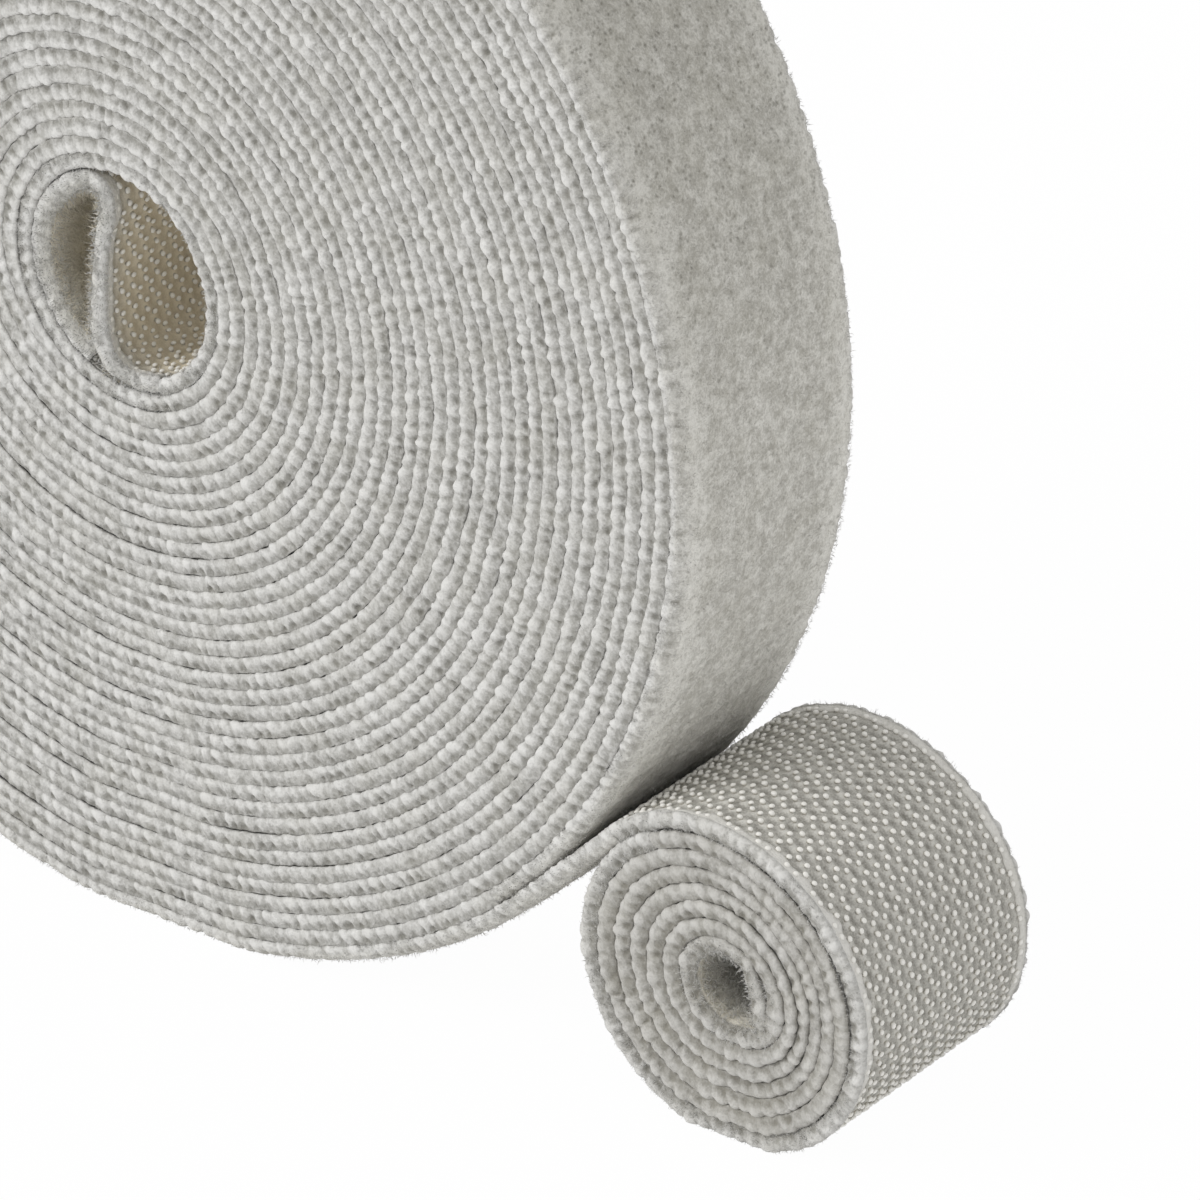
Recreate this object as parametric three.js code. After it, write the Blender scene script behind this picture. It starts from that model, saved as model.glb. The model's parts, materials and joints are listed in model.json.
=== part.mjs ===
// Plant tie tape roll: one hook-and-loop tape, wound in a large coil whose outer end is rolled up
// in a small coil beside it. Both coils stand on their rims. X runs from the large coil to the small
// one, Y along the tape's width, Z up.
import * as THREE from "three";

const FULL_TURN = 2 * Math.PI;
const DOWN = -FULL_TURN / 4;

// The tape, in millimetres
const TAPE_WIDTH = 20;
const HOOK_THICK = 0.38;
const LOOP_THICK = 0.38;
const BOND_GAP = 0.3;
const END_GAP = 0.3;

// The large coil. Its innermost turn lies off the centre of its outermost one, to the right and up
const LARGE_RADIUS = 57;
const LARGE_TURN_GAP = 0.3;
const WOUND_TURNS = 20;
const BORE_RADIUS = 8.2;
const BORE_STEP_ANGLE = -0.21 * FULL_TURN;
const LARGE_DRIFT_RIGHT = 1.8;
const LARGE_DRIFT_UP = -0.1;

// The small coil, whose innermost turn lies off centre likewise, and the bridge of tape that leads
// to it
const BRIDGE_LENGTH = 12;
const SMALL_RADIUS = 14.2;
const SMALL_TURN_GAP = 0.39;
const SMALL_TURNS = 7.24;
const SMALL_DRIFT_RIGHT = 0.8;
const SMALL_DRIFT_UP = 0.5;
const TAIL_LENGTH = 3;
const TAIL_BEND = 0.09 * FULL_TURN;

// The flat that each coil stands on
const FOOT_DEPTH = 0.5;

// How finely the coils are drawn
const TURN_STEPS = 20;
const BORE_STEPS = 24;
const CURL_STEPS = 28;
const FOOT_MARGIN = 0.003 * FULL_TURN;
const SETTLING_ROUNDS = 20;

// The curl of the tape's inner end in the bore, from its cut end to the bore's step, in shares of
// the bore's radius
const CURL_SHARES = [
  [-0.49, -0.91],
  [-0.732, -0.726],
  [-0.9, -0.47],
  [-0.998, -0.22],
  [-1.015, 0.01],
  [-0.98, 0.24],
  [-0.88, 0.48],
  [-0.7, 0.69],
  [-0.47, 0.85],
  [-0.3, 0.9],
  [-0.18, 0.85],
  [-0.13, 0.72],
  [-0.15, 0.56],
  [-0.21, 0.4],
  [-0.262, 0.2],
  [-0.305, -0.04],
  [-0.335, -0.3],
  [-0.345, -0.54],
  [-0.325, -0.76],
  [-0.255, -0.94],
  [-0.11, -1.03],
];

const STEP = FULL_TURN / TURN_STEPS;
const TAPE_THICK = HOOK_THICK + BOND_GAP + LOOP_THICK;
const LARGE_PITCH = TAPE_THICK + LARGE_TURN_GAP;
const SMALL_PITCH = TAPE_THICK + SMALL_TURN_GAP;

// Distances of the two ribbons' faces from the tape's middle line. The hooks are to the left of its
// run, which is the inner side of the large coil and the outer side of the small one, and the loops
// to the right
const BOND_FACE = BOND_GAP / 2;
const HOOK_FACE = BOND_FACE + HOOK_THICK;
const LOOP_FACE = BOND_FACE + LOOP_THICK;

const LOOP_FINISH = new THREE.MeshStandardMaterial({ color: 0xc3c1ba, roughness: 0.95, metalness: 0 });
const HOOK_FINISH = new THREE.MeshStandardMaterial({ color: 0xa49f95, roughness: 0.6, metalness: 0 });

// The corners of a ribbon's section in the order in which they are stored, and all round it
const FRONT_RIGHT = 0;
const BACK_RIGHT = 1;
const FRONT_LEFT = 2;
const BACK_LEFT = 3;
const RING = [FRONT_RIGHT, FRONT_LEFT, BACK_LEFT, BACK_RIGHT];

// The tape's middle line leaves the large coil and meets the small one at these radii
const LIFT_RADIUS = LARGE_RADIUS - LOOP_FACE;
const TOUCH_RADIUS = SMALL_RADIUS - HOOK_FACE;
const COIL_SPACING = Math.hypot(LIFT_RADIUS + TOUCH_RADIUS, BRIDGE_LENGTH);

// Height of a coil's centre over its foot, for the angle at which the bridge leaves or meets it
function heightOverFoot(radius, pitch, bridgeAngle) {
  return radius - (pitch * (bridgeAngle - DOWN)) / FULL_TURN - FOOT_DEPTH;
}

const largeHeight = (liftAngle) => heightOverFoot(LARGE_RADIUS, LARGE_PITCH, liftAngle);
const smallHeight = (touchAngle) => heightOverFoot(SMALL_RADIUS, SMALL_PITCH, touchAngle);

// The angle where the bridge leaves the large coil, with both coils on the same floor
function settleLiftAngle() {
  const bridgeSlant = Math.atan(BRIDGE_LENGTH / (LIFT_RADIUS + TOUCH_RADIUS));
  let liftAngle = DOWN / 2;
  for (let round = 0; round < SETTLING_ROUNDS; round++) {
    const drop = largeHeight(liftAngle) - smallHeight(liftAngle + FULL_TURN / 2);
    liftAngle = -Math.asin(drop / COIL_SPACING) - bridgeSlant;
  }
  return liftAngle;
}

const polar = (radius, angle) => new THREE.Vector2(radius * Math.cos(angle), radius * Math.sin(angle));

// The middle line of a coil of tape: a spiral that grows by its pitch in each turn. Its outermost
// turn is about its centre, and the others drift off it evenly.
class Coil {
  constructor(centre, drift, pitch, outerRadius, outerAngle, turns) {
    Object.assign(this, { centre, drift, pitch, outerRadius, outerAngle, turns });
  }

  radiusAt(angle) {
    return this.outerRadius + (this.pitch * (angle - this.outerAngle)) / FULL_TURN;
  }

  pointAt(angle, radius = this.radiusAt(angle)) {
    const turnsInwards = (this.outerAngle - angle) / FULL_TURN;
    const share = THREE.MathUtils.clamp((turnsInwards - 1) / (this.turns - 1), 0, 1);
    return polar(radius, angle).add(this.centre).addScaledVector(this.drift, share);
  }
}

const LIFT_ANGLE = settleLiftAngle();
const TOUCH_ANGLE = LIFT_ANGLE + FULL_TURN / 2;
const CENTRE_DROP = largeHeight(LIFT_ANGLE) - smallHeight(TOUCH_ANGLE);
const CENTRE_SPACING = Math.sqrt(COIL_SPACING ** 2 - CENTRE_DROP ** 2);
const LARGE_CENTRE = new THREE.Vector2(0, largeHeight(LIFT_ANGLE));
const SMALL_CENTRE = new THREE.Vector2(CENTRE_SPACING, smallHeight(TOUCH_ANGLE));
const LARGE_DRIFT = new THREE.Vector2(LARGE_DRIFT_RIGHT, LARGE_DRIFT_UP);
const SMALL_DRIFT = new THREE.Vector2(SMALL_DRIFT_RIGHT, SMALL_DRIFT_UP);
const LARGE_TURNS = (LIFT_RADIUS - BORE_RADIUS - HOOK_FACE) / LARGE_PITCH;
const LARGE_COIL = new Coil(LARGE_CENTRE, LARGE_DRIFT, LARGE_PITCH, LIFT_RADIUS, LIFT_ANGLE, LARGE_TURNS);
const SMALL_COIL = new Coil(SMALL_CENTRE, SMALL_DRIFT, SMALL_PITCH, TOUCH_RADIUS, TOUCH_ANGLE, SMALL_TURNS);
const WOUND_START = LIFT_ANGLE - WOUND_TURNS * FULL_TURN;
const SMALL_END = TOUCH_ANGLE - SMALL_TURNS * FULL_TURN;
const BORE_CENTRE = LARGE_CENTRE.clone().add(LARGE_DRIFT);

// Angles of a regular polygon with a side at the bottom, from low to high
function gridAngles(low, high) {
  const first = Math.ceil((low - DOWN) / STEP - 1 / 2);
  const angles = [];
  for (let k = first; DOWN + (k + 1 / 2) * STEP < high; k++) angles.push(DOWN + (k + 1 / 2) * STEP);
  return angles;
}

// Points of one coil's middle line at the given angles, which end in its outermost turn. Each turn
// is pressed flat at its foot, the outermost one by the foot's depth and the others less and less.
function coilPoints(coil, angles) {
  const high = angles[angles.length - 1];
  const turns = (high - angles[0]) / FULL_TURN;
  const outerFoot = DOWN + FULL_TURN * Math.floor((high - DOWN) / FULL_TURN);
  const footHalf = Math.acos(1 - FOOT_DEPTH / coil.radiusAt(outerFoot));
  const clearOfFoot = angles.filter((angle) => Math.abs(angle - outerFoot) > footHalf + FOOT_MARGIN);
  const withFoot = [...clearOfFoot, outerFoot - footHalf, outerFoot + footHalf].sort((a, b) => a - b);
  return withFoot.map((angle) => {
    const foot = DOWN + FULL_TURN * Math.round((angle - DOWN) / FULL_TURN);
    const depth = FOOT_DEPTH * (1 - (outerFoot - foot) / FULL_TURN / turns);
    const isOutermost = Math.abs(angle - outerFoot) < footHalf + FOOT_MARGIN;
    const flat = (coil.radiusAt(foot) - depth) / Math.max(Math.cos(angle - foot), 1 / 2);
    return coil.pointAt(angle, isOutermost ? flat : Math.min(coil.radiusAt(angle), flat));
  });
}

// Middle line of the wound tape: the outer turns of the large coil, the bridge, and the small coil
// inwards with its tail across the hole. The small coil is made outwards and turned about.
function woundRoute() {
  const outwards = coilPoints(LARGE_COIL, [...gridAngles(WOUND_START, LIFT_ANGLE), LIFT_ANGLE]);
  outwards[0].lerp(outwards[1], 1 / 2);
  const smallAngles = [SMALL_END, ...gridAngles(SMALL_END, TOUCH_ANGLE), TOUCH_ANGLE];
  const inwards = coilPoints(SMALL_COIL, smallAngles).reverse();
  const tailHeading = SMALL_END - FULL_TURN / 4 - TAIL_BEND;
  const tail = polar(TAIL_LENGTH, tailHeading).add(inwards[inwards.length - 1]);
  return [...outwards, ...inwards, tail];
}

// Left-hand normals at the corners of a line, lengthened so that faces beside it keep their distance
function cornerNormals(points) {
  const headings = points.slice(1).map((point, k) => point.clone().sub(points[k]).normalize());
  return points.map((_, k) => {
    const before = headings[Math.max(k - 1, 0)];
    const after = headings[Math.min(k, headings.length - 1)];
    const middle = before.clone().add(after).normalize();
    const left = new THREE.Vector2(-middle.y, middle.x);
    return left.divideScalar(middle.dot(after));
  });
}

// The line that runs beside another at a distance to its left
function lineBeside(points, distance) {
  const normals = cornerNormals(points);
  return points.map((point, k) => normals[k].clone().multiplyScalar(distance).add(point));
}

// One ribbon beside a line, as wide as the tape, between a right and a left face whose distances are
// counted to the left of the line
function ribbonGeometry(points, rightFace, leftFace) {
  const right = lineBeside(points, rightFace);
  const left = lineBeside(points, leftFace);
  const positions = points.flatMap((_, k) => [right[k], left[k]].flatMap((corner) =>
    [corner.x, -TAPE_WIDTH / 2, corner.y, corner.x, TAPE_WIDTH / 2, corner.y]));
  const index = [FRONT_RIGHT, FRONT_LEFT, BACK_LEFT, FRONT_RIGHT, BACK_LEFT, BACK_RIGHT];
  for (let k = 0; k + 1 < points.length; k++) {
    const here = RING.length * k;
    const next = here + RING.length;
    RING.forEach((corner, side) => {
      const beside = RING[(side + 1) % RING.length];
      index.push(here + corner, next + corner, next + beside, here + corner, next + beside, here + beside);
    });
  }
  const last = RING.length * (points.length - 1);
  index.push(last + FRONT_RIGHT, last + BACK_LEFT, last + FRONT_LEFT);
  index.push(last + FRONT_RIGHT, last + BACK_RIGHT, last + BACK_LEFT);
  const geometry = new THREE.BufferGeometry();
  geometry.setAttribute("position", new THREE.Float32BufferAttribute(positions, 3));
  geometry.setIndex(index);
  geometry.computeVertexNormals();
  return geometry;
}

const loopRibbon = (route) => ribbonGeometry(route, -LOOP_FACE, -BOND_FACE);
const hookRibbon = (route) => ribbonGeometry(route, BOND_FACE, HOOK_FACE);

// The turns between the bore and the wound ones, as a plain core whose outer and inner outlines
// each spiral through one turn and step back by one tape thickness. The wound ribbons start at the
// outer step, in the middle of one of its sides, and the curl in the bore ends at the inner step.
function coreGeometry() {
  const first = gridAngles(WOUND_START, LIFT_ANGLE)[0];
  const guide = Array.from({ length: TURN_STEPS + 2 }, (_, k) => {
    return LARGE_COIL.pointAt(first + k * STEP);
  });
  const outer = lineBeside(guide, HOOK_FACE + LARGE_TURN_GAP);
  const stepShare = 1 / 2 - END_GAP / outer[0].distanceTo(outer[1]);
  outer[outer.length - 1].sub(outer[outer.length - 2]).multiplyScalar(stepShare).add(outer[outer.length - 2]);
  outer[0].lerp(outer[1], stepShare);
  const inner = Array.from({ length: BORE_STEPS + 1 }, (_, k) => {
    const angle = BORE_STEP_ANGLE + (k * FULL_TURN) / BORE_STEPS;
    return polar(BORE_RADIUS + (LARGE_PITCH * k) / BORE_STEPS, angle).add(BORE_CENTRE);
  });
  const outline = new THREE.Shape(outer);
  outline.holes.push(new THREE.Path(inner));
  const geometry = new THREE.ExtrudeGeometry(outline, { depth: TAPE_WIDTH, bevelEnabled: false });
  return geometry.rotateX(FULL_TURN / 4).translate(0, TAPE_WIDTH / 2, 0);
}

// Middle line of the curl in the bore, which ends square to the bore's step
function curlRoute() {
  const endAngle = BORE_STEP_ANGLE - END_GAP / BORE_RADIUS;
  const endRadius = BORE_RADIUS + HOOK_FACE;
  const end = polar(endRadius, endAngle);
  const guides = CURL_SHARES.map(([x, z]) => new THREE.Vector3(x * BORE_RADIUS, z * BORE_RADIUS, 0));
  const curve = new THREE.CatmullRomCurve3([...guides, new THREE.Vector3(end.x, end.y, 0)]);
  const points = curve.getSpacedPoints(CURL_STEPS);
  return points.map((point) => new THREE.Vector2(point.x, point.y).add(BORE_CENTRE));
}

function piece(name, geometry, material) {
  const mesh = new THREE.Mesh(geometry, material);
  mesh.name = name;
  return mesh;
}

function assemble() {
  const roll = new THREE.Group();
  const route = woundRoute();
  const curl = curlRoute();
  roll.add(piece("loop_ribbon", loopRibbon(route), LOOP_FINISH));
  roll.add(piece("hook_ribbon", hookRibbon(route), HOOK_FINISH));
  roll.add(piece("inner_turns", coreGeometry(), LOOP_FINISH));
  roll.add(piece("inner_end_loop_ribbon", loopRibbon(curl), LOOP_FINISH));
  roll.add(piece("inner_end_hook_ribbon", hookRibbon(curl), HOOK_FINISH));
  const box = new THREE.Box3().setFromObject(roll);
  roll.position.x = -(box.min.x + box.max.x) / 2;
  return roll;
}

export default assemble();
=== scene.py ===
"""Plant tie tape roll: a double-sided hook-and-loop tape wound in a large coil, its outer end rolled
up in a small coil beside it. The tape is two ribbons bonded back to back, one knitted with a fleece
pile and one with hooks. Lengths are in metres, X runs from the large coil to the small one, Z is up."""

import json
import math

import bpy
import numpy as np
from mathutils import Matrix, Vector


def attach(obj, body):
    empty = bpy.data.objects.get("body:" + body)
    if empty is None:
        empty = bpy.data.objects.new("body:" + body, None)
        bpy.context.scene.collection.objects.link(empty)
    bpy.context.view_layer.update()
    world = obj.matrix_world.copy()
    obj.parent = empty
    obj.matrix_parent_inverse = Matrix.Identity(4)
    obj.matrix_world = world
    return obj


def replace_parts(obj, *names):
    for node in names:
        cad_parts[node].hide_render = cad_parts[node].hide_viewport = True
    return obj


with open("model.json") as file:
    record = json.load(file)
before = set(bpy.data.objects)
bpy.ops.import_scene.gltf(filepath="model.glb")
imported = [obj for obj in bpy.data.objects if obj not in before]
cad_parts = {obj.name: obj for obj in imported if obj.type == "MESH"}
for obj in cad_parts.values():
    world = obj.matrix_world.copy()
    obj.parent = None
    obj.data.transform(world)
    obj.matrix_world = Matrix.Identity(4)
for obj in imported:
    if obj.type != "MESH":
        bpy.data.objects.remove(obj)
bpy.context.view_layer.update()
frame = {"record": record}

MM = 0.001
FULL_TURN = 2 * math.pi
DOWN = -FULL_TURN / 4
BODY = "root"

# The tape: how far the sides of its two ribbons lie to the left of its middle line
TAPE_WIDTH = 20 * MM
TAPE_HALF = 0.53 * MM
FLEECE_SIDES = (-0.62 * MM, 0)
HOOK_SIDES = (0.02 * MM, 0.40 * MM)

# The large coil, from its bore to where the tape lifts off. Its innermost turn lies off the centre
# of its outermost one, by its drift to the right and up
LARGE_RADIUS = 57 * MM
LARGE_PITCH = 1.36 * MM
LARGE_DRIFT = np.array((1.8, -0.1)) * MM
BORE_RADIUS = 8.2 * MM
BORE_STEP_ANGLE = -0.21 * FULL_TURN
CLEAR_TURNS = 20

# The small coil and the bridge of tape that leads to it
BRIDGE_LENGTH = 12 * MM
SMALL_RADIUS = 14.2 * MM
SMALL_PITCH = 1.45 * MM
SMALL_TURNS = 7.24
SMALL_DRIFT = np.array((0.8, 0.5)) * MM

# The straight end of the tape in the small coil's hole: its points from the coil's centre, and how
# far the turns outside it are pushed aside, at which angle, how widely and over how many turns
TAIL_POINTS = np.array(((3.72, 0.5), (3.95, -1.2), (3.86, -2.3))) * MM
TAIL_ROOM = 1.0 * MM
TAIL_ROOM_ANGLE = -0.07 * FULL_TURN
TAIL_ROOM_WIDTH = 0.14 * FULL_TURN
TAIL_ROOM_TURNS = 4.5

# The flat that each coil stands on. It fades over this many turns, and the cosine keeps the sides
# of a coil clear of it
FOOT_DEPTH = 0.5 * MM
FOOT_TURNS = 20
LEAST_FOOT_COSINE = 0.5

# The curl of the tape's inner end in the bore, in shares of the bore's radius
CURL_SHARES = (
    (-0.47, -0.915),
    (-0.732, -0.726),
    (-0.9, -0.47),
    (-0.998, -0.22),
    (-1.015, 0.01),
    (-0.98, 0.24),
    (-0.88, 0.48),
    (-0.7, 0.69),
    (-0.47, 0.85),
    (-0.3, 0.9),
    (-0.18, 0.85),
    (-0.13, 0.72),
    (-0.15, 0.56),
    (-0.21, 0.4),
    (-0.262, 0.2),
    (-0.305, -0.04),
    (-0.335, -0.3),
    (-0.345, -0.54),
    (-0.325, -0.76),
    (-0.255, -0.94),
    (-0.11, -1.03),
)

# How far the curl runs on along the bore's first turn, and the tail along the small coil's last one,
# which is counted in steps of the line
CURL_JOINT = 4 * MM
TAIL_JOINT_STEPS = 31

# Hooks stand in rows across the tape, each row half a column aside from the last
HOOK_ROW_PITCH = 1.36 * MM
HOOK_COLUMN_PITCH = 1.33 * MM
HOOK_MARGIN = 0.6 * MM

# The photographed view: the camera's target, its distance and its directions to the right and ahead
CAMERA_TARGET = Vector((40.452, -10, 42.797)) * MM
CAMERA_DISTANCE = 0.7
CAMERA_LENS_MM = 289.2
CAMERA_AHEAD = Vector((-0.58089, 0.65828, -0.47878))
CAMERA_RIGHT = Vector((0.76899, 0.63666, -0.05762))
CAMERA_SENSOR_MM = 36
CAMERA_CLIP_END = 10

# The studio: the floor's size, its grey and how much it glows like the backdrop, the even light from
# all round, and the sun with its width and the direction to it
FLOOR_SIZE = 3.0
FLOOR_GREY = 0.9
FLOOR_GLOW = 0.98
SOFT_STRENGTH = 0.72
BACKDROP_STRENGTH = 1.0
SUN_STRENGTH = 1.15
SUN_WIDTH = math.radians(28)
TO_SUN = Vector((-0.5, -0.62, 0.6))
WHITE = (1, 1, 1, 1)

# How finely things are drawn
LINE_STEP = 0.1 * MM
LINE_SMOOTHING = 1.5 * MM
CORD_STEP = 0.22 * MM
HIDDEN_STEP = 0.8 * MM
PIECE_TRIANGLES = 190000


def polar(radius, angle):
    """Points at angles round a centre."""
    return np.stack([radius * np.cos(angle), radius * np.sin(angle)], -1)


def hump(value, middle, width):
    """A smooth hump that is 1 at the middle and fades to both sides."""
    return np.exp(-(((value - middle) / width) ** 2))


# The route of the tape

LIFT_RADIUS = LARGE_RADIUS - TAPE_HALF
TOUCH_RADIUS = SMALL_RADIUS - TAPE_HALF
COIL_SPACING = math.hypot(LIFT_RADIUS + TOUCH_RADIUS, BRIDGE_LENGTH)


def settle_coils(rounds=20):
    """The angle where the tape lifts off the large coil, the drop from its centre to the small
    coil's, and its own height. They depend on each other, and a few rounds settle them."""
    lift = DOWN / 2
    for _ in range(rounds):
        large_foot = LARGE_RADIUS - LARGE_PITCH * (lift - DOWN) / FULL_TURN - FOOT_DEPTH
        touch = lift + FULL_TURN / 2
        small_foot = SMALL_RADIUS - SMALL_PITCH * (touch - DOWN) / FULL_TURN - FOOT_DEPTH
        drop = large_foot - small_foot
        lift = -math.asin(drop / COIL_SPACING) - math.atan(BRIDGE_LENGTH / (LIFT_RADIUS + TOUCH_RADIUS))
    return lift, drop, large_foot


LIFT_ANGLE, CENTRE_DROP, LARGE_HEIGHT = settle_coils()
TOUCH_ANGLE = LIFT_ANGLE + FULL_TURN / 2
foot_mount = next(mount for mount in frame["record"]["mounts"] if mount["name"] == "large_coil_foot")
LARGE_CENTRE = np.array([foot_mount["pos_m"][0], LARGE_HEIGHT])
BORE_CENTRE = LARGE_CENTRE + LARGE_DRIFT
SMALL_CENTRE = LARGE_CENTRE + (math.sqrt(COIL_SPACING**2 - CENTRE_DROP**2), -CENTRE_DROP)
BORE_LINE_RADIUS = BORE_RADIUS + TAPE_HALF
LARGE_TURNS = round((LIFT_RADIUS - BORE_LINE_RADIUS) / LARGE_PITCH)
LARGE_TURNS += (LIFT_ANGLE - BORE_STEP_ANGLE) / FULL_TURN


def coil_line(centre, drift, inner_radius, outer_radius, high, turns, tail_room=0.0):
    """Middle line of one coil, outwards, pressed flat at the foot of its outer turns, and how far it
    lies from the turns inside and outside it."""
    low = high - turns * FULL_TURN
    pitch = (outer_radius - inner_radius) / turns
    outer_foot = DOWN + FULL_TURN * np.floor((high - DOWN) / FULL_TURN)

    def radius_at(angles):
        aside = (angles - TAIL_ROOM_ANGLE + FULL_TURN / 2) % FULL_TURN - FULL_TURN / 2
        fade = np.clip(1 - (angles - low) / FULL_TURN / TAIL_ROOM_TURNS, 0, 1)
        push = tail_room * fade * hump(aside, 0, TAIL_ROOM_WIDTH)
        return outer_radius + pitch * (angles - high) / FULL_TURN + push

    def place(angles):
        foot = DOWN + FULL_TURN * np.round((angles - DOWN) / FULL_TURN)
        depth = FOOT_DEPTH * np.clip(1 - (outer_foot - foot) / FULL_TURN / min(FOOT_TURNS, turns), 0, 1)
        flat = (radius_at(foot) - depth) / np.maximum(np.cos(angles - foot), LEAST_FOOT_COSINE)
        share = np.clip(((high - angles) / FULL_TURN - 1) / (turns - 1), 0, 1)
        return centre + drift * share[:, None] + polar(np.minimum(radius_at(angles), flat), angles)

    angles = np.linspace(low, high, int((inner_radius + outer_radius) / 2 * turns * FULL_TURN / LINE_STEP))
    line = place(angles)
    inside = np.linalg.norm(line - place(angles - FULL_TURN), axis=1)
    outside = np.linalg.norm(line - place(angles + FULL_TURN), axis=1)
    return line, np.stack([inside, outside], 1)


def smooth_line(guides):
    """A smooth line through guide points."""
    guides = np.array(guides)
    chords = np.r_[0, np.cumsum(np.linalg.norm(np.diff(guides, axis=0), axis=1))]
    slopes = np.gradient(guides, chords, axis=0)
    along = np.arange(0, chords[-1], LINE_STEP)
    k = np.clip(np.searchsorted(chords, along, "right") - 1, 0, len(chords) - 2)
    span = (chords[k + 1] - chords[k])[:, None]
    u = (along - chords[k])[:, None] / span
    start = (2 * u**3 - 3 * u**2 + 1) * guides[k] + (u**3 - 2 * u**2 + u) * span * slopes[k]
    return start + (3 * u**2 - 2 * u**3) * guides[k + 1] + (u**3 - u**2) * span * slopes[k + 1]


def smoothed(values, width):
    """Columns of values, averaged over a window that is width samples long."""
    window = np.hanning(width + 2)[1:-1]
    window /= window.sum()
    half = width // 2
    before = 2 * values[:1] - values[half:0:-1]
    after = 2 * values[-1:] - values[-2 : -half - 2 : -1]
    padded = np.concatenate([before, values, after])
    return np.stack([np.convolve(column, window, "valid") for column in padded.T], 1)[: len(values)]


class Tape:
    """The tape's middle line, found by the length along it from its inner end. Its rooms are the
    distances to the passes of tape on its right and left."""

    def __init__(self, stretches, rooms):
        points = np.concatenate(stretches)
        lengths = np.r_[0, np.cumsum(np.linalg.norm(np.diff(points, axis=0), axis=1))]
        self.ends = [lengths[count - 1] for count in np.cumsum([len(stretch) for stretch in stretches])]
        self.along = np.arange(0, lengths[-1], LINE_STEP)
        columns = np.concatenate([points, np.concatenate(rooms)], 1).T
        line = np.stack([np.interp(self.along, lengths, column) for column in columns], 1)
        line = smoothed(line, int(LINE_SMOOTHING / LINE_STEP) // 2 * 2 + 1)
        self.points, self.rooms = line[:, :2], line[:, 2:]
        heading = np.gradient(self.points, LINE_STEP, axis=0)
        heading /= np.linalg.norm(heading, axis=1)[:, None]
        self.left = np.stack([-heading[:, 1], heading[:, 0]], 1)

    def at(self, along, left, across):
        """Places at lengths along the tape, to its left, and across its width from the middle."""
        x, z = (np.interp(along, self.along, column) for column in self.points.T)
        side_x, side_z = (np.interp(along, self.along, column) for column in self.left.T)
        return np.stack([x + side_x * left, across + 0 * x, z + side_z * left], -1)

    def room(self, along):
        """The rooms to the right and left, as shares of the large coil's pitch."""
        return [np.interp(along, self.along, column) / LARGE_PITCH for column in self.rooms.T]

    def left_of(self, along):
        """Directions to the tape's left."""
        x, z = (np.interp(along, self.along, column) for column in self.left.T)
        return np.stack([x, 0 * x, z], -1)


def make_tape():
    """The curl in the bore, the large coil, the bridge, the small coil and the tail in its hole."""
    curl = [BORE_CENTRE + BORE_RADIUS * np.array(share) for share in CURL_SHARES]
    large, large_rooms = coil_line(
        LARGE_CENTRE, LARGE_DRIFT, BORE_LINE_RADIUS, LIFT_RADIUS, LIFT_ANGLE, LARGE_TURNS
    )
    curl_joint = [large[int(part * CURL_JOINT / LINE_STEP)] for part in (0, 0.5, 1)]
    curl_line = smooth_line(curl + curl_joint)
    rest = int(CURL_JOINT / LINE_STEP) + 1
    inner_radius = TOUCH_RADIUS - SMALL_PITCH * SMALL_TURNS
    small, small_rooms = coil_line(
        SMALL_CENTRE, SMALL_DRIFT, inner_radius, TOUCH_RADIUS, TOUCH_ANGLE, SMALL_TURNS, TAIL_ROOM
    )
    small = small[::-1]
    tail_joint = small[[-TAIL_JOINT_STEPS, -(TAIL_JOINT_STEPS + 1) // 2, -1]]
    tail = smooth_line([*tail_joint, *(SMALL_CENTRE + TAIL_POINTS)])[TAIL_JOINT_STEPS:]
    stretches = [curl_line, large[rest:], small[:1], small[1:], tail]
    rooms = [
        np.full(curl_line.shape, LARGE_PITCH),
        large_rooms[rest:, ::-1],
        np.full((1, 2), SMALL_PITCH),
        small_rooms[-2::-1],
        np.full(tail.shape, SMALL_PITCH),
    ]
    return Tape(stretches, rooms)


tape = make_tape()
CURL_END, LIFT, TOUCH, SMALL_END, TAPE_END = tape.ends
BORE_TURN_END = CURL_END + FULL_TURN * (BORE_RADIUS + LARGE_PITCH)
CORE_END = LIFT - CLEAR_TURNS * FULL_TURN * (LARGE_RADIUS - CLEAR_TURNS / 2 * LARGE_PITCH)
OUTER_TURN_START = LIFT - FULL_TURN * (LARGE_RADIUS - LARGE_PITCH / 2)
SMALL_TURN_END = TOUCH + FULL_TURN * (SMALL_RADIUS - SMALL_PITCH / 2)


# Meshes

NOISE_ROWS = 4096
NOISE_COLUMNS = 61


def wander(u, v, seed):
    """Smooth noise from -1 to 1 over a plane, with one cell for each unit of u and v."""
    cells = np.random.default_rng(seed).uniform(-1, 1, (NOISE_ROWS, NOISE_COLUMNS))
    low_u, low_v = np.floor(u), np.floor(v)
    part_u, part_v = u - low_u, v - low_v
    ease_u, ease_v = part_u**2 * (3 - 2 * part_u), part_v**2 * (3 - 2 * part_v)
    row, column = low_u.astype(int) % NOISE_ROWS, low_v.astype(int) % NOISE_COLUMNS
    next_row, next_column = (row + 1) % NOISE_ROWS, (column + 1) % NOISE_COLUMNS
    near = cells[row, column] * (1 - ease_v) + cells[row, next_column] * ease_v
    far = cells[next_row, column] * (1 - ease_v) + cells[next_row, next_column] * ease_v
    return near * (1 - ease_u) + far * ease_u


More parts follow.
